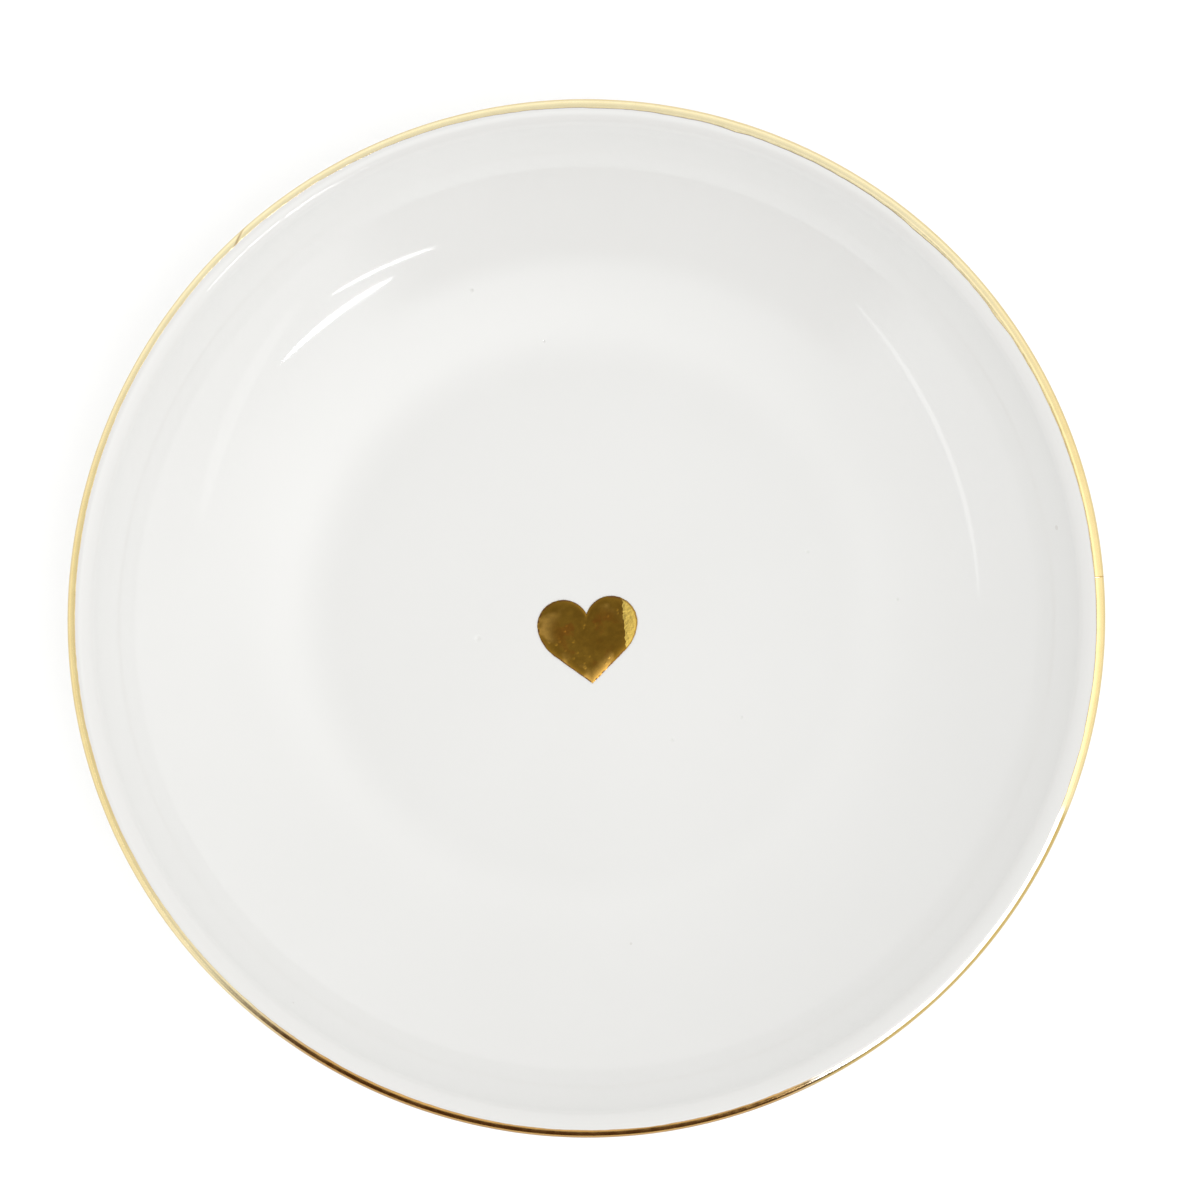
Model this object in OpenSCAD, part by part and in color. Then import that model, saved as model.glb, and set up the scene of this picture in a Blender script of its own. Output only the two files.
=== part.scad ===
// Round ring and trinket dish: a shallow glazed porcelain dish with a gilded lip
// and a small gold heart fired onto its floor.
// Millimetres. The origin is the centre of the foot ring's resting face, +Z is up
// and the heart's notch points to +Y.

/* [Dish] */
// Widest diameter, over the gilding of the lip
rim_d = 105; // [102:1:112]
// Height from the table to the crest of the lip
dish_h = 20; // [18:0.5:21]
// Diameter of the flat floor inside the dish
floor_d = 50; // [44:1:58]
// Porcelain and glaze under the flat floor, down to the recess inside the foot ring
floor_t = 3.2; // [3:0.1:3.6]
// Slope of the inside wall at its steepest, just under the lip, in degrees
wall_slope = 72; // [68:1:76]
// Radius of the lip's inner shoulder, from the wall up to the crest
shoulder_r = 1.8; // [1.6:0.1:2.2]
// Radius of the lip's outer edge, from the crest down to the outside
edge_r = 0.9; // [0.8:0.05:1.1]

/* [Foot ring] */
// Outside diameter of the foot ring where it meets the underside
foot_d = 60; // [56:1:62]
// Height of the foot ring
foot_h = 2; // [1.8:0.1:2.4]
// Width of the foot ring where it meets the underside
foot_w = 3.2; // [2.8:0.1:4]

/* [Glaze and gold] */
// Thickness of the glaze
glaze_t = 0.35; // [0.3:0.05:0.5]
// Thickness of the gold, made thicker than a fired film so that it is a solid
gold_t = 0.1; // [0.1:0.01:0.15]
// Angle past the crest of the lip at which the gold band starts, in degrees
gold_start = 2; // [0:1:15]
// Angle past the crest of the lip at which the gold band ends, in degrees
gold_end = 94; // [84:1:94]

/* [Heart] */
// Width of the heart across both lobes
heart_w = 10.4; // [8:0.2:14]
// How far the middle of the heart lies from the centre of the dish, towards its tip
heart_drop = 2.4; // [0:0.1:4]

/* [Hidden] */
$fn = 128;
arc_step = 3; // degrees between the points of a long arc
small_step = 6; // degrees between the points of the lip's and the heart's arcs

// Heights of the glazed surfaces under and inside the dish
recess_z = foot_h;
floor_z = recess_z + floor_t;

// Crest of the glazed lip, where its shoulder and its outer edge meet
crest_x = rim_d / 2 - gold_t - edge_r;
crest_z = dish_h - gold_t;

// Inside wall: part of an ellipse that leaves the floor level and meets the shoulder at its
// steepest, so that the curve tightens steadily from the floor to the lip
in_x = floor_d / 2;
wall_dx = crest_x - shoulder_r * sin(wall_slope) - in_x;
wall_dz = crest_z - shoulder_r * (1 - cos(wall_slope)) - floor_z;
wall_turn = acos(1 / (tan(wall_slope) * wall_dx / wall_dz - 1));
wall_a = wall_dx / sin(wall_turn);
wall_b = wall_dz / (1 - cos(wall_turn));

// Outer arc: level with the underside at the foot ring, then wrapping round the lip's outer edge
out_x = foot_d / 2;
out_dx = crest_x - out_x;
out_dz = crest_z - edge_r - recess_z;
out_r = (pow(out_dx, 2) + pow(out_dz, 2) - pow(edge_r, 2)) / (2 * (out_dz - edge_r));
out_z = recess_z + out_r;
out_end = atan2(crest_z - edge_r - out_z, out_dx);

// Foot ring: tapered sides and a bare resting face with a bevel on each side
foot_taper = 0.5; // how far each side leans in over the ring's height
toe = 0.5; // size of the bevels
bare_h = 0.9; // height above the table at which the glaze stops

// Heart: each half is a lobe, a wider cheek arc below it and a straight run to the tip
lobe_r = 0.26 * heart_w;
lobe_x = heart_w / 2 - lobe_r;
lobe_y = 0.168 * heart_w;
tip_y = -0.428 * heart_w;
notch_angle = acos(-lobe_x / lobe_r);
cheek_r = 0.42 * heart_w;
cheek_top = -10; // direction in which the cheek leaves the lobe, in degrees
cheek_x = lobe_x - (cheek_r - lobe_r) * cos(cheek_top);
cheek_y = lobe_y - (cheek_r - lobe_r) * sin(cheek_top);
tip_to_cheek = norm([cheek_x, cheek_y - tip_y]);
cheek_end = -asin(cheek_r / tip_to_cheek) - atan2(cheek_x, cheek_y - tip_y);

// Points on an arc about (cx, cy) from angle a to angle b, both ends included
function arc(cx, cy, r, a, b, step) =
    let (n = max(1, ceil(abs(b - a) / step)))
    [for (i = [0:n]) let (t = a + (b - a) * i / n) [cx + r * cos(t), cy + r * sin(t)]];

// A point of the inside wall, sunk by depth square to the glazed surface
function wall_point(turn, depth) =
    let (slope = atan2(wall_b * sin(turn), wall_a * cos(turn)))
    [in_x + wall_a * sin(turn) + depth * sin(slope),
     floor_z + wall_b * (1 - cos(turn)) - depth * cos(slope)];

// The inside of the dish from its centre to the lip, sunk by depth below the glazed surface
function inside(depth) =
    let (n = ceil(wall_turn / arc_step))
    concat(
        [[0, floor_z - depth]],
        [for (i = [0:n]) wall_point(wall_turn * i / n, depth)]);

// An arc of the lip that has its top at the crest, between two angles past the crest,
// raised above the glazed surface by grow
function lip(r, grow, from, to) =
    arc(crest_x, crest_z - r, r + grow, 90 - from, 90 - to, small_step);

// The whole lip, with a point at each edge of the gold band
function whole_lip(depth) = concat(
    lip(shoulder_r, -depth, -wall_slope, 0),
    lip(edge_r, -depth, 0, gold_start),
    lip(edge_r, -depth, gold_start, gold_end),
    lip(edge_r, -depth, gold_end, 90 - out_end));

// The outside from the lip down to the foot ring
function outside(depth) = arc(out_x, out_z, out_r - depth, out_end, -90, arc_step);

// How far a foot ring side has leaned in by a height above the table
function lean(z) = foot_taper * (recess_z - z) / foot_h;
function foot_out(z) = out_x - lean(z);
function foot_in(z) = out_x - foot_w + lean(z);

// The glazed surface from the centre of the floor, over the lip, to where the glaze stops
function glazed(depth) = concat(
    inside(depth),
    whole_lip(depth),
    outside(depth),
    [[foot_out(recess_z) - depth, recess_z + depth], [foot_out(bare_h) - depth, bare_h]]);

// The same list of points from last to first
function backwards(points) = [for (i = [len(points) - 1:-1:0]) points[i]];

// The list with each point that repeats the one before it left out
function tidy(points) =
    [for (i = [0:len(points) - 1]) if (i == 0 || norm(points[i] - points[i - 1]) > 0.001) points[i]];

module turned(points) {
    rotate_extrude() polygon(tidy(points));
}

// Fired porcelain in one piece: floor, wall, core of the lip and foot ring
module dish_body() {
    color("ivory")
        turned(concat(
            glazed(glaze_t),
            [[foot_out(bare_h), bare_h],
             [foot_out(toe), toe],
             [foot_out(0) - toe, 0],
             [foot_in(0) + toe, 0],
             [foot_in(toe), toe],
             [foot_in(recess_z), recess_z],
             [foot_in(recess_z), recess_z + glaze_t],
             [0, recess_z + glaze_t]]));
}

// White glaze over the inside, the lip and the outside, down to the bare foot
module glaze_coat() {
    color("white")
        turned(concat(glazed(0), backwards(glazed(glaze_t))));
}

// White glaze over the recess inside the foot ring
module base_glaze() {
    color("whitesmoke")
        translate([0, 0, recess_z])
            cylinder(h = glaze_t, r = foot_in(recess_z));
}

// Gold band over the lip's outer edge, from the crest down
module gold_rim() {
    color("goldenrod")
        turned(concat(
            lip(edge_r, gold_t, gold_start, gold_end),
            backwards(lip(edge_r, 0, gold_start, gold_end))));
}

// The right half of the heart's outline, from the tip up to the notch
half_heart = concat(
    [[0, tip_y]],
    arc(cheek_x, cheek_y, cheek_r, cheek_end, cheek_top, small_step),
    arc(lobe_x, lobe_y, lobe_r, cheek_top, notch_angle, small_step));
left_half_heart = [for (p = backwards(half_heart)) if (p[0] > 0.001) [-p[0], p[1]]];

// Gold heart on the floor, a little off the centre of the dish
module gold_heart() {
    color("darkgoldenrod")
        translate([0, -heart_drop, floor_z])
            linear_extrude(gold_t)
                polygon(tidy(concat(half_heart, left_half_heart)));
}

dish_body();
glaze_coat();
base_glaze();
gold_rim();
gold_heart();
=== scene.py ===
import math

import bpy
from mathutils import Matrix, Vector, noise


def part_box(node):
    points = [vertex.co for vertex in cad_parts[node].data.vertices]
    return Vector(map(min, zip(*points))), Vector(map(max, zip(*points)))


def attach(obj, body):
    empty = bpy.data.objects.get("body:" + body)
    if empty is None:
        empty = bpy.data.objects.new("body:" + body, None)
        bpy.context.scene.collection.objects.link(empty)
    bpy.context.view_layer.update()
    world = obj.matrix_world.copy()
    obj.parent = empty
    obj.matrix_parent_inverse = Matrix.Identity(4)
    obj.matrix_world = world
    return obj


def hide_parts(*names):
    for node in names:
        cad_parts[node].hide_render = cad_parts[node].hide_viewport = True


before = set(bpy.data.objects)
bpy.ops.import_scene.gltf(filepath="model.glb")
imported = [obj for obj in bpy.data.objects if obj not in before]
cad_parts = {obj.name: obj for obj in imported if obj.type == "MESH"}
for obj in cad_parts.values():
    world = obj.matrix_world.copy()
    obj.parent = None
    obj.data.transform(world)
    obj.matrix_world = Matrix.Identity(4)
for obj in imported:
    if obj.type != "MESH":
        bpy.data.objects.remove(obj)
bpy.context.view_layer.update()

# A round ring dish in white glazed porcelain, with a gilded lip and a gold heart on its floor.
# Metres. +Z is up, the origin is the centre of the foot's resting face, and the heart's
# notch points to +Y. Angles round the dish are measured from +X towards +Y.

MM = 0.001
TAU = 2 * math.pi

# ---------------------------------------------------------------- sizes from the frame

rim_low, rim_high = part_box("gold_rim")
glaze_low, glaze_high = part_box("glaze_coat")
base_low, base_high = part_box("base_glaze")
heart_low, heart_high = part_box("gold_heart")

RIM_R = rim_high.x
GLAZE_R = glaze_high.x
CREST_Z = glaze_high.z
BARE_Z = glaze_low.z
RECESS_Z = base_low.z
GLAZE_T = base_high.z - base_low.z
RECESS_R = base_high.x
FLOOR_Z = heart_low.z
GOLD_T = RIM_R - GLAZE_R
HEART_T = heart_high.z - heart_low.z
HEART_W = heart_high.x - heart_low.x
HEART_Y = (heart_high.y + heart_low.y) / 2

# The rest of the profile, which no box gives
FLOOR_R = 25 * MM
WALL_SLOPE = math.radians(72)
FOOT_R = 30 * MM
FOOT_W = 3.2 * MM
FOOT_LEAN = 0.5 * MM
SHOULDER_R = 1.8 * MM
EDGE_R = 0.9 * MM
CREST_R = GLAZE_R - EDGE_R
TOE_R = 0.5 * MM
FILLET_R = 0.5 * MM

# Where the glaze pools and eases the floor into the wall: height, distance from the axis and reach
EASE_T = 0.14 * MM
EASE_R = 27 * MM
EASE_REACH = 6.5 * MM

SEGMENTS = 360

# ---------------------------------------------------------------- profile of the dish


def arc(cx, cz, r, start, end, step):
    """Points on an arc about (cx, cz), from angle start to angle end, in degrees."""
    count = max(1, math.ceil(abs(end - start) / step))
    angles = [math.radians(start + (end - start) * i / count) for i in range(count + 1)]
    return [(cx + r * math.cos(a), cz + r * math.sin(a)) for a in angles]


def wall_ellipse():
    """The ellipse that leaves the floor level and meets the lip's shoulder at its steepest."""
    dx = CREST_R - SHOULDER_R * math.sin(WALL_SLOPE) - FLOOR_R
    dz = CREST_Z - SHOULDER_R * (1 - math.cos(WALL_SLOPE)) - FLOOR_Z
    turn = math.acos(1 / (math.tan(WALL_SLOPE) * dx / dz - 1))
    return turn, dx / math.sin(turn), dz / (1 - math.cos(turn))


def outer_arc():
    """Radius, centre height and end of the arc from the foot ring round the lip's outer edge."""
    dx = CREST_R - FOOT_R
    dz = CREST_Z - EDGE_R - RECESS_Z
    radius = (dx * dx + dz * dz - EDGE_R * EDGE_R) / (2 * (dz - EDGE_R))
    centre = RECESS_Z + radius
    return radius, centre, math.degrees(math.atan2(CREST_Z - EDGE_R - centre, dx))


WALL_TURN, WALL_A, WALL_B = wall_ellipse()
OUT_R, OUT_Z, OUT_END = outer_arc()


def foot_lean(z):
    """How far a side of the foot ring has leaned in, at a height above the table."""
    return FOOT_LEAN * (RECESS_Z - z) / RECESS_Z


def eased(r):
    """Extra height that eases the floor into the wall, at a distance from the axis."""
    return EASE_T * math.exp(-(((r - EASE_R) / EASE_REACH) ** 2))


def wall_point(turn, depth):
    """A point of the inside wall, sunk by depth square to the glazed surface."""
    slope = math.atan2(WALL_B * math.sin(turn), WALL_A * math.cos(turn))
    return (FLOOR_R + WALL_A * math.sin(turn) + depth * math.sin(slope),
            FLOOR_Z + WALL_B * (1 - math.cos(turn)) - depth * math.cos(slope))


def inside_profile(depth):
    """The floor and the wall up to the lip, sunk by depth below the glazed surface."""
    rings, steps = 40, 70
    floor = [(FLOOR_R * i / rings, FLOOR_Z - depth) for i in range(rings)]
    wall = [wall_point(WALL_TURN * i / steps, depth) for i in range(steps + 1)]
    return [(r, z + eased(r)) for r, z in floor + wall]


def lip_profile(depth):
    """The lip's inner shoulder and outer edge, sunk by depth below the glazed surface."""
    start = 90 + math.degrees(WALL_SLOPE)
    shoulder = arc(CREST_R, CREST_Z - SHOULDER_R, SHOULDER_R - depth, start, 90, 5)
    edge = arc(CREST_R, CREST_Z - EDGE_R, EDGE_R - depth, 90, OUT_END, 5)
    return shoulder[1:] + edge[1:]


def outside_profile(depth):
    """The outside from the lip to the foot, with a small fillet where the two meet."""
    under = arc(FOOT_R, OUT_Z, OUT_R - depth, OUT_END, -90, 1.5)
    under = [p for p in under if p[0] > FOOT_R + FILLET_R]
    corner_x = FOOT_R + FILLET_R - depth
    corner_z = RECESS_Z - FILLET_R + depth
    fillet = arc(corner_x, corner_z, FILLET_R, 90, 180, 15)
    return under[1:] + fillet


def glazed_profile(depth):
    return inside_profile(depth) + lip_profile(depth) + outside_profile(depth)


# Firing warp of the lip: waves in a turn, azimuth in degrees at which a wave takes nothing, and size
NARROWING = ((2, 59, 0.0006), (4, 14, 0.0007), (5, -22, 0.0005))
SAGGING = ((2, 130, 0.0025), (3, 40, 0.0015))


def warp_share(waves, azimuth):
    """How much narrower or lower the lip is at an azimuth, as a fraction of its size."""
    return sum(size * (1 - math.cos(k * (azimuth - math.radians(at)))) for k, at, size in waves)


def fired(azimuth, r, z):
    """A point of the profile turned to an azimuth, with the slight warp that firing gives the wall."""
    share = min(max((z - FLOOR_Z) / (CREST_Z - FLOOR_Z), 0), 1)
    share = share * share * (3 - 2 * share)
    r = r * (1 - share * warp_share(NARROWING, azimuth))
    z = z * (1 - share * warp_share(SAGGING, azimuth))
    return Vector((r * math.cos(azimuth), r * math.sin(azimuth), z))


# ---------------------------------------------------------------- mesh making

FIT = "Fit"


def make_object(name, points, faces, material, uvs=None):
    mesh = bpy.data.meshes.new(name)
    mesh.from_pydata([tuple(p) for p in points], [], faces)
    mesh.materials.append(material)
    if uvs:
        layer = mesh.uv_layers.new(name=FIT)
        for loop in mesh.loops:
            layer.data[loop.index].uv = uvs[loop.vertex_index]
    mesh.update()
    for polygon in mesh.polygons:
        polygon.use_smooth = True
    obj = bpy.data.objects.new(name, mesh)
    bpy.context.scene.collection.objects.link(obj)
    return obj


def turn(name, ring, material, segments=SEGMENTS, warp=fired):
    """Turns a closed profile round the axis. Points on the axis become one shared vertex."""
    points = []
    columns = []
    for r, z in ring:
        if r < 1e-9:
            columns.append([len(points)] * segments)
            points.append(warp(0, 0, z))
        else:
            columns.append(list(range(len(points), len(points) + segments)))
            points += [warp(TAU * s / segments, r, z) for s in range(segments)]
    faces = []
    count = len(ring)
    for i in range(count):
        a, b = columns[i], columns[(i + 1) % count]
        for s in range(segments):
            n = (s + 1) % segments
            corners = [a[s], a[n], b[n], b[s]]
            face = [c for k, c in enumerate(corners) if c != corners[k - 1]]
            if len(face) > 2:
                faces.append(face)
    return make_object(name, points, faces, material)


# ---------------------------------------------------------------- material making


class Tree:
    """Short calls for the nodes of one material or world."""

    def __init__(self, owner):
        owner.use_nodes = True
        self.tree = owner.node_tree

    def link(self, source, target):
        self.tree.links.new(source, target)

    def put(self, socket, value):
        if isinstance(value, bpy.types.NodeSocket):
            self.link(value, socket)
        else:
            socket.default_value = value

    def node(self, kind, **inputs):
        made = self.tree.nodes.new("ShaderNode" + kind)
        for name, value in inputs.items():
            self.put(made.inputs[name.replace("_", " ")], value)
        return made

    def math(self, operation, a, b=0.0, c=0.0):
        made = self.node("Math")
        made.operation = operation
        for socket, value in zip(made.inputs, (a, b, c)):
            self.put(socket, value)
        return made.outputs[0]

    def spread(self, value, from_low, from_high, to_low=0.0, to_high=1.0):
        """A smooth change from to_low to to_high as the value goes from from_low to from_high."""
        made = self.node("MapRange")
        made.interpolation_type = "SMOOTHSTEP"
        for socket, number in zip(made.inputs, (value, from_low, from_high, to_low, to_high)):
            self.put(socket, number)
        return made.outputs[0]


class Nodes(Tree):
    """Short calls for the nodes of one material."""

    def __init__(self, name):
        self.material = bpy.data.materials.new(name)
        super().__init__(self.material)
        self.shader = self.tree.nodes["Principled BSDF"]

    def place(self):
        return self.node("TexCoord").outputs["Object"]

    def parts(self, vector):
        """The three numbers of a vector."""
        return self.node("SeparateXYZ", Vector=vector).outputs

    def fit(self):
        """The two numbers that the piece's mesh carries at each point, from 0 to 1."""
        made = self.node("UVMap")
        made.uv_map = FIT
        return self.parts(made.outputs["UV"])[:2]

    def noise(self, where, scale, detail=3.0, roughness=0.5):
        made = self.node("TexNoise", Vector=where, Scale=scale, Detail=detail, Roughness=roughness)
        return made.outputs["Fac"]

    def mix(self, factor, a, b):
        made = self.node("Mix")
        made.data_type = "RGBA"
        self.put(made.inputs[0], factor)
        self.put(made.inputs[6], a)
        self.put(made.inputs[7], b)
        return made.outputs[2]

    def bump(self, height, distance, strength=1.0, after=None):
        made = self.node("Bump", Height=height, Distance=distance, Strength=strength)
        if after is not None:
            self.link(after, made.inputs["Normal"])
        return made.outputs["Normal"]

    def finish(self, **inputs):
        for name, value in inputs.items():
            self.put(self.shader.inputs[name.replace("_", " ")], value)
        return self.material


def rgb(r, g, b):
    return (r, g, b, 1.0)


# Pinholes and pits of the glaze on the floor and the wall: x, y and radius, in millimetres
PITS = (
    (-8.9, 34.7, 0.28),
    (23.4, 4.8, 0.30),
    (32.2, -0.9, 0.24),
    (-11.4, -1.2, 0.45),
    (7.7, -13.4, 0.30),
    (15.1, -11.7, 0.20),
    (-1.9, 28.9, 0.16),
)


def inside_height(r):
    """Height of the glazed surface inside the dish, at a distance from its axis."""
    return FLOOR_Z + eased(r) + WALL_B * (1 - math.sqrt(1 - (max(0, r - FLOOR_R) / WALL_A) ** 2))


def glaze_material():
    n = Nodes("white_glaze")
    where = n.place()
    z = n.parts(where)[2]
    mottle = n.noise(where, 55, 3)
    speckle = n.node("TexVoronoi", Vector=where, Scale=240)
    speck_size = n.math("MULTIPLY", n.spread(n.noise(where, 95, 1), 0.66, 0.8), 0.12)
    speck = n.math("LESS_THAN", speckle.outputs["Distance"], speck_size)
    colour = n.mix(mottle, rgb(0.75, 0.749, 0.738), rgb(0.775, 0.774, 0.765))
    # Painted shade: the glaze is painted darker towards the lip.
    thin_gold_and_lip_shade = n.spread(z, CREST_Z - 1.5 * MM, CREST_Z - 0.4 * MM)
    colour = n.mix(n.math("MULTIPLY", thin_gold_and_lip_shade, 0.7), colour, rgb(0.695, 0.69, 0.678))
    colour = n.mix(n.math("MULTIPLY", speck, 0.25), colour, rgb(0.45, 0.41, 0.36))
    pits = None
    for px, py, radius in PITS:
        away = n.node("VectorMath", Vector=where)
        away.operation = "DISTANCE"
        away.inputs[1].default_value = (px * MM, py * MM, inside_height(math.hypot(px, py) * MM))
        pit = n.spread(away.outputs["Value"], 0.0, radius * MM, 1.0, 0.0)
        pits = pit if pits is None else n.math("MAXIMUM", pits, pit)
    colour = n.mix(n.math("MULTIPLY", pits, 0.16), colour, rgb(0.42, 0.40, 0.36))
    undulation = n.bump(n.noise(where, 90, 1), 0.02 * MM)
    surface = n.bump(n.math("SUBTRACT", 1.0, pits), 0.05 * MM, after=undulation)
    rough = n.spread(n.noise(where, 70, 4), 0.3, 0.7, 0.025, 0.06)
    return n.finish(Base_Color=colour, Roughness=rough, IOR=1.52, Normal=surface)


def porcelain_material():
    n = Nodes("bare_porcelain")
    where = n.place()
    grain = n.noise(where, 2600, 4, 0.65)
    stain = n.spread(n.noise(where, 150, 4), 0.45, 0.75)
    worn_low = n.spread(n.parts(where)[2], 0.25 * MM, 0.0)
    worn = n.math("MULTIPLY", worn_low, n.spread(n.noise(where, 420, 3), 0.4, 0.6))
    colour = n.mix(grain, rgb(0.70, 0.66, 0.60), rgb(0.80, 0.77, 0.72))
    colour = n.mix(n.math("MULTIPLY", stain, 0.3), colour, rgb(0.58, 0.50, 0.40))
    colour = n.mix(n.math("MULTIPLY", worn, 0.45), colour, rgb(0.46, 0.43, 0.39))
    rough = n.spread(grain, 0.3, 0.7, 0.62, 0.85)
    return n.finish(Base_Color=colour, Roughness=rough, Normal=n.bump(grain, 0.03 * MM))


def base_glaze_material():
    n = Nodes("base_glaze")
    where = n.place()
    colour = n.mix(n.noise(where, 60, 3), rgb(0.76, 0.75, 0.73), rgb(0.81, 0.80, 0.785))
    speckle = n.node("TexVoronoi", Vector=where, Scale=330)
    dust = n.math("LESS_THAN", speckle.outputs["Distance"], 0.07)
    colour = n.mix(n.math("MULTIPLY", dust, 0.3), colour, rgb(0.40, 0.36, 0.31))
    wave = n.bump(n.noise(where, 140, 2), 0.05 * MM)
    rough = n.spread(n.noise(where, 90, 4), 0.3, 0.7, 0.09, 0.2)
    return n.finish(Base_Color=colour, Roughness=rough, IOR=1.52, Normal=wave)


# Azimuths on the gold band, in degrees: where its two painted ends overlap, the middle of the front
# stretch darkened as a painted reflection, and the middle of the stretch with a painted highlight
JOIN_AT = 128.3
DARK_FRONT_AT = 260
HIGHLIGHT_AT = 312


def near(n, around, azimuth, reach, full):
    """1 within full degrees of an azimuth, 0 beyond reach degrees, for a share of a turn."""
    away = n.math("ABSOLUTE", n.math("SUBTRACT", around, azimuth / 360))
    return n.spread(away, reach / 360, full / 360)


def rim_gold_material():
    """Fired gold, its colour carrying painted reflections: paler at the back, warmer at the sides, dark
    at the front and nearly white in a stretch at the front right; brownish along its inner edge.
    """
    n = Nodes("rim_gold")
    where = n.place()
    around, across = n.fit()
    y = n.parts(where)[1]
    mottle = n.noise(where, 700, 4)
    pale = n.mix(mottle, rgb(0.80, 0.70, 0.43), rgb(0.86, 0.76, 0.49))
    warm = n.mix(mottle, rgb(0.72, 0.57, 0.27), rgb(0.80, 0.66, 0.34))
    dark_reflection = n.mix(mottle, rgb(0.50, 0.28, 0.08), rgb(0.64, 0.40, 0.14))
    # Painted reflection: the gold is paler towards the back and front and warmer at the sides.
    colour = n.mix(n.spread(n.math("ABSOLUTE", y), 0.75 * RIM_R, 0.2 * RIM_R), pale, warm)
    # Painted reflection: dark brown at the front, where the band faces the dark in front of the dish.
    front = near(n, around, DARK_FRONT_AT, 40, 24)
    colour = n.mix(front, colour, dark_reflection)
    thin_gold_and_lip_shade = n.spread(across, 0.0, 0.10, 0.5, 0.0)
    thin_gold_and_lip_shade = n.math("MULTIPLY", thin_gold_and_lip_shade, n.spread(n.noise(where, 500, 3), 0.3, 0.6, 0.3, 1.0))
    colour = n.mix(thin_gold_and_lip_shade, colour, rgb(0.50, 0.36, 0.25))
    join = n.math("MULTIPLY_ADD", across, 0.008, n.math("SUBTRACT", around, JOIN_AT / 360))
    join = n.spread(n.math("ABSOLUTE", join), 0.0002, 0.0014, 0.55, 0.0)
    colour = n.mix(join, colour, rgb(0.30, 0.17, 0.05))
    # Painted highlight: in a stretch at the front right the inner part of the band is painted nearly
    # white, and its outer part darker gold.
    side = near(n, around, HIGHLIGHT_AT, 22, 20)
    painted_highlight = n.math("MULTIPLY", side, n.spread(across, 0.40, 0.33))
    colour = n.mix(painted_highlight, colour, rgb(0.97, 0.95, 0.88))
    outer = n.math("MULTIPLY", side, n.spread(across, 0.33, 0.40))
    colour = n.mix(outer, colour, rgb(0.52, 0.38, 0.13))
    # Darker down the outside of the band, and darkest at the front, where it carries the painted dark
    # reflection.
    low = n.math("MULTIPLY", n.spread(across, 0.5, 0.75), 0.8)
    colour = n.mix(low, colour, n.mix(front, rgb(0.60, 0.45, 0.18), rgb(0.28, 0.14, 0.04)))
    rough = n.spread(n.noise(where, 1200, 4), 0.3, 0.7, 0.14, 0.24)
    brush = n.bump(n.noise(where, 1500, 3), 0.003 * MM)
    return n.finish(Base_Color=colour, Metallic=1.0, Roughness=rough, Normal=brush)


# The heart's corner with a painted highlight: where it starts, as a share of the width from the middle,
# and its tilt
CORNER_HIGHLIGHT_AT = 0.365
CORNER_TILT = math.radians(3)


def heart_gold_material():
    """Gold transfer: an orange-peel film, pitted, with a dark broken outline. Its dark brown, lighter
    towards the outline, is a painted reflection, and its tilted right corner has a painted highlight.
    """
    n = Nodes("heart_gold")
    where = n.place()
    outward = n.fit()[1]
    x = n.parts(where)[0]
    cloud = n.noise(where, 330, 3)
    fine = n.noise(where, 1500, 2)
    # Painted reflection: the film's dark brown stands for the dark overhead that it mirrors.
    colour = n.mix(n.spread(cloud, 0.35, 0.65), rgb(0.20, 0.105, 0.012), rgb(0.25, 0.137, 0.017))
    # Lighter tan towards the outline, part of the same painted reflection.
    tan = n.math("MULTIPLY", n.spread(outward, 0.6, 0.95), n.spread(n.noise(where, 260, 3), 0.46, 0.58))
    colour = n.mix(n.math("MULTIPLY", tan, 0.8), colour, rgb(0.62, 0.36, 0.08))
    reddish = n.spread(n.noise(where, 520, 3), 0.50, 0.62)
    reddish = n.math("MULTIPLY", reddish, n.spread(outward, 0.8, 0.45))
    colour = n.mix(n.math("MULTIPLY", reddish, 0.5), colour, rgb(0.24, 0.075, 0.01))
    outline = n.spread(outward, 0.955, 0.98)
    broken = n.spread(n.noise(where, 2300, 2), 0.43, 0.5)
    colour = n.mix(n.math("MULTIPLY", outline, broken), colour, rgb(0.16, 0.07, 0.02))
    rough = n.spread(fine, 0.3, 0.7, 0.08, 0.14)
    specks = n.node("TexVoronoi", Vector=where, Scale=1500)
    pimples = n.spread(specks.outputs["Distance"], 0.0, 0.3, 1.0, 0.0)
    pimples = n.math("MULTIPLY", pimples, n.spread(n.noise(where, 1000, 1), 0.52, 0.6))
    # Painted highlight: a lighter patch on the heart's right corner beyond a ragged line, where a
    # crease also tilts the film.
    ragged = n.math("MULTIPLY", n.math("SUBTRACT", n.noise(where, 2600, 3), 0.5), 0.5 * MM)
    beyond = n.math("ADD", n.math("SUBTRACT", x, CORNER_HIGHLIGHT_AT * HEART_W), ragged)
    corner_highlight = n.spread(beyond, -0.04 * MM, 0.04 * MM)
    corner_highlight = n.math("MULTIPLY", corner_highlight, n.spread(outline, 0.3, 1.0, 1.0, 0.3))
    colour = n.mix(corner_highlight, colour, rgb(0.40, 0.28, 0.062))
    crease = n.math("MULTIPLY", n.math("MAXIMUM", beyond, 0.0), -math.tan(CORNER_TILT))
    tilt = n.bump(crease, 1.0)
    peel = n.bump(fine, 0.002 * MM, after=tilt)
    surface = n.bump(pimples, 0.008 * MM, after=peel)
    return n.finish(Base_Color=colour, Metallic=1.0, Roughness=rough, Normal=surface)


# ---------------------------------------------------------------- pieces of the dish


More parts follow.
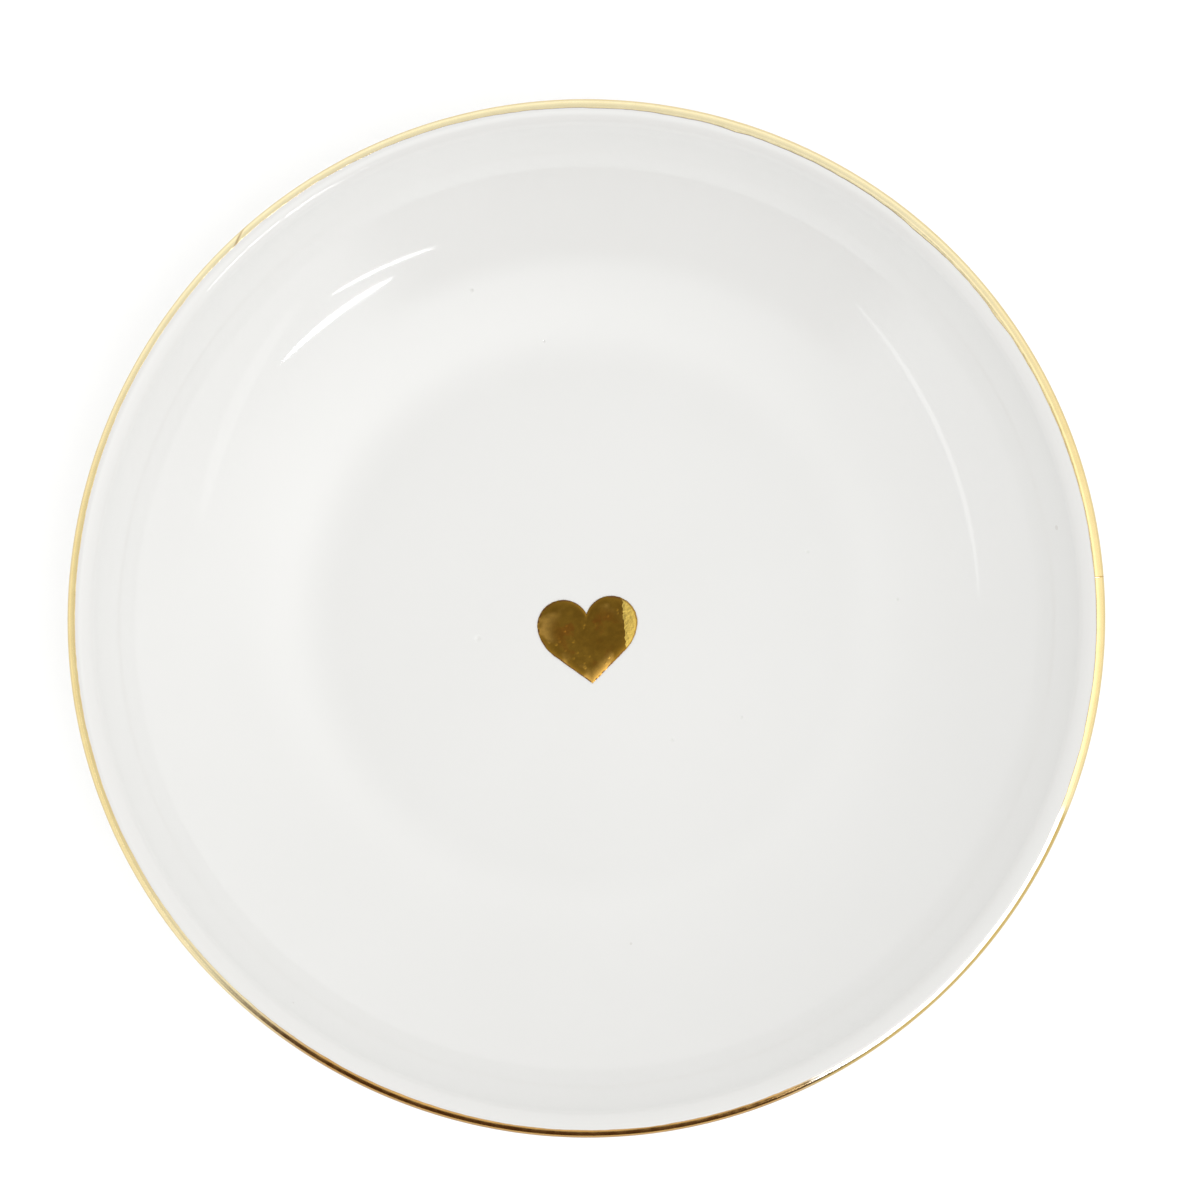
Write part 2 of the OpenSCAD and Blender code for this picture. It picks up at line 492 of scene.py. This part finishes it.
def make_body():
    """The fired porcelain: everything under the glaze, and the bare foot ring."""
    foot_out = FOOT_R - foot_lean(0)
    foot_in = FOOT_R - FOOT_W + foot_lean(0)
    ring = glazed_profile(GLAZE_T)
    ring += [(FOOT_R - foot_lean(BARE_Z) - GLAZE_T, BARE_Z), (FOOT_R - foot_lean(BARE_Z), BARE_Z)]
    ring += arc(foot_out - TOE_R, TOE_R, TOE_R, 0, -90, 15)
    ring += arc(foot_in + TOE_R, TOE_R, TOE_R, -90, -180, 15)
    ring += [(RECESS_R, RECESS_Z), (RECESS_R, RECESS_Z + GLAZE_T), (0, RECESS_Z + GLAZE_T)]
    body = turn("porcelain_body", ring, porcelain_material())
    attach(body, "root")
    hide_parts("dish_body")


def make_glaze():
    """The glaze skin, ending in a rounded bead just above the bare part of the foot."""
    bead = GLAZE_T / 2
    end_r = FOOT_R - foot_lean(BARE_Z) - bead
    ring = glazed_profile(0)
    ring += arc(end_r, BARE_Z + bead, bead, 0, -180, 20)
    ring += list(reversed(glazed_profile(GLAZE_T)))
    glaze = turn("glaze_skin", ring, glaze_material())
    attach(glaze, "root")
    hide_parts("glaze_coat")


def make_base_glaze():
    """The glaze in the recess, a little hollow in the middle and full where it meets the foot."""
    def warp(azimuth, r, z):
        return Vector((r * math.cos(azimuth), r * math.sin(azimuth), z))

    rings = 20
    top = RECESS_Z + GLAZE_T
    hollow = 0.1 * GLAZE_T
    shares = [i / rings for i in range(rings + 1)]
    under = [(RECESS_R * t, RECESS_Z + hollow * (1 - t ** 6)) for t in shares]
    ring = under + [(RECESS_R, top), (0, top)]
    piece = turn("recess_glaze", ring, base_glaze_material(), 180, warp)
    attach(piece, "root")
    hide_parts("base_glaze")


def lip_point(along):
    """Position and outward direction on the glazed lip, at a distance along it past the crest."""
    radius = EDGE_R if along > 0 else SHOULDER_R
    turned = along / radius
    outward = (math.sin(turned), math.cos(turned))
    return CREST_R + radius * outward[0], CREST_Z - radius + radius * outward[1], outward


# Where the brush ran over towards the inside: azimuth and width in degrees, size in millimetres
SMUDGES = ((68, 1.2, 0.12), (44, 2.0, 0.13), (31, 1.5, 0.10))


def band_start(azimuth):
    """Where the hand-painted gold starts, as a distance along the lip from its crest."""
    swing = 0.10 * math.cos(azimuth - math.radians(30))
    swing += 0.11 * math.cos(2 * (azimuth - math.radians(38)))
    where = Vector((math.cos(azimuth), math.sin(azimuth), 0)) * 14
    ripple = 0.05 * noise.noise(where) + 0.035 * noise.noise(where * 5)
    lobe = 0
    for at, width, size in SMUDGES:
        off = (math.degrees(azimuth) - at + 180) % 360 - 180
        lobe += size * math.exp(-((off / width) ** 2))
    return (0.07 - swing - ripple - lobe) * MM


def band_end(azimuth):
    """Where the gold ends on the outside, as a distance along the lip from its crest."""
    where = Vector((math.cos(azimuth), math.sin(azimuth), 3)) * 9
    return EDGE_R * math.radians(90) + (0.06 * noise.noise(where) - 0.05) * MM


def make_rim():
    """The gold band: a thin film with feathered edges, wrapped over the outer half of the lip."""
    segments = 720
    steps = 20
    bury = 0.015 * MM
    feather_top, feather_low = 0.6, 0.12
    thinnest, swell = 0.2, 0.75
    points = []
    uvs = []
    for s in range(segments):
        azimuth = TAU * s / segments
        start, end = band_start(azimuth), band_end(azimuth)
        for lift_share in (1, 0):
            for k in range(steps + 1):
                t = k / steps if lift_share else 1 - k / steps
                r, z, outward = lip_point(start + (end - start) * t)
                rise = min(1, t / feather_top, (1 - t) / feather_low)
                film = GOLD_T * (thinnest + swell * rise * rise * (3 - 2 * rise))
                lift = film if lift_share else -bury
                points.append(fired(azimuth, r + outward[0] * lift, z + outward[1] * lift))
                uvs.append((s / segments, t))
    ring = 2 * (steps + 1)
    faces = []
    for s in range(segments):
        n = (s + 1) % segments
        for k in range(ring):
            m = (k + 1) % ring
            faces.append([s * ring + k, s * ring + m, n * ring + m, n * ring + k])
    rim = make_object("gold_lip_band", points, faces, rim_gold_material(), uvs)
    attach(rim, "root")
    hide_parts("gold_rim")


def heart_outline():
    """The heart about its own middle: lobe, cheek and straight run to the tip, then mirrored."""
    lobe_r = 0.26 * HEART_W
    lobe_x = HEART_W / 2 - lobe_r
    lobe_y = 0.168 * HEART_W
    tip_y = -0.428 * HEART_W
    cheek_r = 0.42 * HEART_W
    cheek_top = -10
    cheek_x = lobe_x - (cheek_r - lobe_r) * math.cos(math.radians(cheek_top))
    cheek_y = lobe_y - (cheek_r - lobe_r) * math.sin(math.radians(cheek_top))
    reach = math.hypot(cheek_x, cheek_y - tip_y)
    cheek_end = -math.degrees(math.asin(cheek_r / reach) + math.atan2(cheek_x, cheek_y - tip_y))
    notch = math.degrees(math.acos(-lobe_x / lobe_r))
    cheek = arc(cheek_x, cheek_y, cheek_r, cheek_end, cheek_top, 3)
    lobe = arc(lobe_x, lobe_y, lobe_r, cheek_top, notch, 4)
    run = 12
    side = [(cheek[0][0] * i / run, tip_y + (cheek[0][1] - tip_y) * i / run) for i in range(run)]
    half = side + cheek + lobe[1:]
    return half + [(-x, y) for x, y in reversed(half[1:-1])]


def make_heart():
    """The gold heart: a film with a soft edge and a faintly wavy top."""
    outline = heart_outline()
    rings = 26
    ragged = 0.035 * MM
    bury = 0.02 * MM
    fullest, edge_loss = 0.94, 0.35
    points = [Vector((0, HEART_Y, FLOOR_Z + fullest * HEART_T))]
    uvs = [(0.5, 0)]
    for ring in range(1, rings + 1):
        t = 1 - (1 - ring / rings) ** 1.6
        for x, y in outline:
            reach = math.hypot(x, y)
            wobble = ragged * noise.noise(Vector((x, y, 0)) * 2600) * t / reach
            px, py = x * (t + wobble), y * (t + wobble)
            edge = (1 - t) * reach
            film = HEART_T * (fullest - edge_loss * t ** 10)
            wave = 0.03 * HEART_T * noise.noise(Vector((px, py, 0)) * 330)
            wave *= min(1, edge / (0.3 * MM))
            points.append(Vector((px, HEART_Y + py, FLOOR_Z + film + wave)))
            uvs.append((0.5, t))
    count = len(outline)
    top_edge = 1 + (rings - 1) * count
    for k in range(count):
        rim = points[top_edge + k]
        points.append(Vector((rim.x, rim.y, FLOOR_Z - bury)))
        uvs.append((0.5, 1))
    points.append(Vector((0, HEART_Y, FLOOR_Z - bury)))
    uvs.append((0.5, 1))
    faces = []
    for k in range(count):
        m = (k + 1) % count
        faces.append([0, 1 + k, 1 + m])
        for ring in range(rings):
            a = 1 + ring * count
            faces.append([a + k, a + count + k, a + count + m, a + m])
        low = 1 + rings * count
        faces.append([low + m, low + k, len(points) - 1])
    heart = make_object("gold_heart_motif", points, faces, heart_gold_material(), uvs)
    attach(heart, "root")
    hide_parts("gold_heart")


# ---------------------------------------------------------------- studio


def direction(azimuth, zenith):
    """A unit vector, from degrees round the dish and degrees down from straight up."""
    a, z = math.radians(azimuth), math.radians(zenith)
    return Vector((math.cos(a) * math.sin(z), math.sin(a) * math.sin(z), math.cos(z)))


# The middle of the lip, which the camera and the lights face
TARGET = Vector((0, 0, CREST_Z))


def strip(name, start, end, thickness, radiance):
    """A tapering strip of light between two (azimuth, zenith) directions, seen in reflections."""
    distance = 0.8
    first = TARGET + direction(*start) * distance
    last = TARGET + direction(*end) * distance
    along = (last - first).normalized()
    away = ((first + last) / 2 - TARGET).normalized()
    data = bpy.data.lights.new(name, "AREA")
    data.shape = "ELLIPSE"
    data.size, data.size_y = (last - first).length, thickness
    data.energy = radiance * math.pi * data.size * data.size_y
    light = bpy.data.objects.new(name, data)
    light.location = (first + last) / 2
    light.rotation_mode = "QUATERNION"
    across = away.cross(along)
    light.rotation_quaternion = Matrix((along, across, away)).transposed().to_quaternion()
    light.visible_diffuse = False
    bpy.context.scene.collection.objects.link(light)


def lit_paper():
    """White paper lit a little from below, so that it stays white round the dish."""
    n = Nodes("studio_paper")
    paper, light = rgb(0.96, 0.96, 0.96), rgb(1.0, 1.0, 1.0)
    return n.finish(Base_Color=paper, Roughness=0.9, Emission_Color=light, Emission_Strength=0.06)


def make_floor():
    """A sheet of white paper, wide enough to reach the horizon."""
    half = 12
    corners = [(-half, -half, 0), (half, -half, 0), (half, half, 0), (-half, half, 0)]
    floor = make_object("studio_floor", corners, [[0, 1, 2, 3]], lit_paper())
    floor.data.polygons[0].use_smooth = False


def card_material(name):
    """Dark brown cloth that thins out towards the card's edges."""
    n = Nodes(name)
    cover = None
    for share in n.fit():
        inward = n.math("MINIMUM", share, n.math("SUBTRACT", 1.0, share))
        fade = n.spread(inward, 0.0, 0.16)
        cover = fade if cover is None else n.math("MULTIPLY", cover, fade)
    return n.finish(Base_Color=rgb(0.07, 0.028, 0.006), Roughness=1.0, Alpha=cover)


def make_card(name, azimuths, zeniths, distance):
    """A dark card, curved round the dish, that only reflections see."""
    rows, columns = 12, 24
    points = []
    uvs = []
    for i in range(rows + 1):
        zenith = zeniths[0] + (zeniths[1] - zeniths[0]) * i / rows
        for j in range(columns + 1):
            azimuth = azimuths[0] + (azimuths[1] - azimuths[0]) * j / columns
            points.append(TARGET + direction(azimuth, zenith) * distance)
            uvs.append((j / columns, i / rows))
    width = columns + 1
    faces = [
        [i * width + j, i * width + j + 1, (i + 1) * width + j + 1, (i + 1) * width + j]
        for i in range(rows)
        for j in range(columns)
    ]
    card = make_object(name, points, faces, card_material(name + "_cloth"), uvs)
    card.visible_camera = False
    card.visible_diffuse = False
    card.visible_shadow = False
    card.visible_transmission = False


# Soft glows of the room: azimuth, zenith angle and reach in degrees, and added radiance
GLOWS = (
    (340, 13, 9, 0.9),
    (318, 30, 14, 0.9),
    (355, 48, 14, 0.3),
    (265, 17, 10, 0.5),
)


class Sky(Tree):
    """Radiance of the room by direction, built from soft round shapes."""

    def __init__(self):
        world = bpy.data.worlds.new("studio")
        super().__init__(world)
        bpy.context.scene.world = world
        self.where = self.node("TexCoord").outputs["Generated"]

    def facing(self, azimuth, zenith):
        """Cosine of the angle from a direction."""
        made = self.node("VectorMath")
        made.operation = "DOT_PRODUCT"
        self.put(made.inputs[0], self.where)
        self.put(made.inputs[1], direction(azimuth, zenith))
        return made.outputs["Value"]

    def angle(self, azimuth, zenith):
        """Angle from a direction, in degrees."""
        radians = self.math("ARCCOSINE", self.facing(azimuth, zenith))
        return self.math("MULTIPLY", radians, 180 / math.pi)

    def glow(self, azimuth, zenith, reach, strength):
        """A soft round glow about a direction, with its reach in degrees."""
        falloff = self.math("SUBTRACT", self.facing(azimuth, zenith), 1.0)
        falloff = self.math("MULTIPLY", falloff, 1 / math.radians(reach) ** 2)
        return self.math("MULTIPLY", self.math("EXPONENT", falloff), strength)

    def shade(self, radiance, where, share):
        """The radiance with a share of it taken away where the second value is 1."""
        return self.math("MULTIPLY", radiance, self.math("MULTIPLY_ADD", where, -share, 1.0))

    def finish(self, radiance, tint):
        joined = self.node("VectorMath")
        joined.operation = "SCALE"
        self.put(joined.inputs[0], tint)
        self.put(joined.inputs["Scale"], radiance)
        self.link(joined.outputs["Vector"], self.tree.nodes["Background"].inputs["Color"])


def make_world():
    """A white room with soft glows, the dark of the camera above and a dimmer underneath."""
    side, overhead_loss, back_gain = 1.34, 0.50, 0.035
    camera_reach, camera_share = 12.0, 0.6
    under_start, under_full, under_share = -0.02, -0.25, 0.7
    sky = Sky()
    upward = sky.facing(0, 0)
    room = sky.math("MULTIPLY_ADD", upward, -overhead_loss, side)
    room = sky.math("MULTIPLY_ADD", sky.facing(70, 90), back_gain, room)
    for glow in GLOWS:
        room = sky.math("ADD", sky.glow(*glow), room)
    room = sky.shade(room, sky.spread(sky.angle(0, 0), camera_reach, 0.0), camera_share)
    room = sky.shade(room, sky.spread(upward, under_start, under_full), under_share)
    sky.finish(room, (1.0, 0.998, 0.988))


def make_lights():
    """A window slit with its sill and wall to the front right, and a pale wall to the left."""
    strip("window_slit", (295, 48.2), (314.5, 51.6), 0.032, 24)
    strip("window_sill", (287, 52.8), (303, 58.8), 0.014, 16)
    strip("window_wall", (307, 68.8), (341, 51.1), 0.09, 0.45)
    strip("side_wall", (225, 60.3), (178, 49), 0.03, 1.2)


def make_camera():
    """Straight above the dish, turned a little, so that the heart leans in the picture."""
    view_width = 120.9 * MM
    aim_right, aim_up = 1.37 * MM, 1.83 * MM
    lens = 150
    sensor = 36
    lean = math.radians(5)
    up = Vector((math.sin(lean), math.cos(lean), 0))
    right = Vector((math.cos(lean), -math.sin(lean), 0))
    aim = right * aim_right + up * aim_up + TARGET
    data = bpy.data.cameras.new("camera")
    data.lens = lens
    data.sensor_width = sensor
    data.clip_start = 0.01
    data.clip_end = 50
    camera = bpy.data.objects.new("camera", data)
    camera.location = aim + Vector((0, 0, view_width * lens / sensor))
    camera.rotation_euler = (0, 0, -lean)
    bpy.context.scene.collection.objects.link(camera)
    bpy.context.scene.camera = camera


make_camera()
make_body()
make_glaze()
make_base_glaze()
make_rim()
make_heart()
make_floor()
make_card("front_card", (214, 303), (28, 106), 0.9)
make_world()
make_lights()
bpy.context.scene.view_settings.view_transform = "Standard"
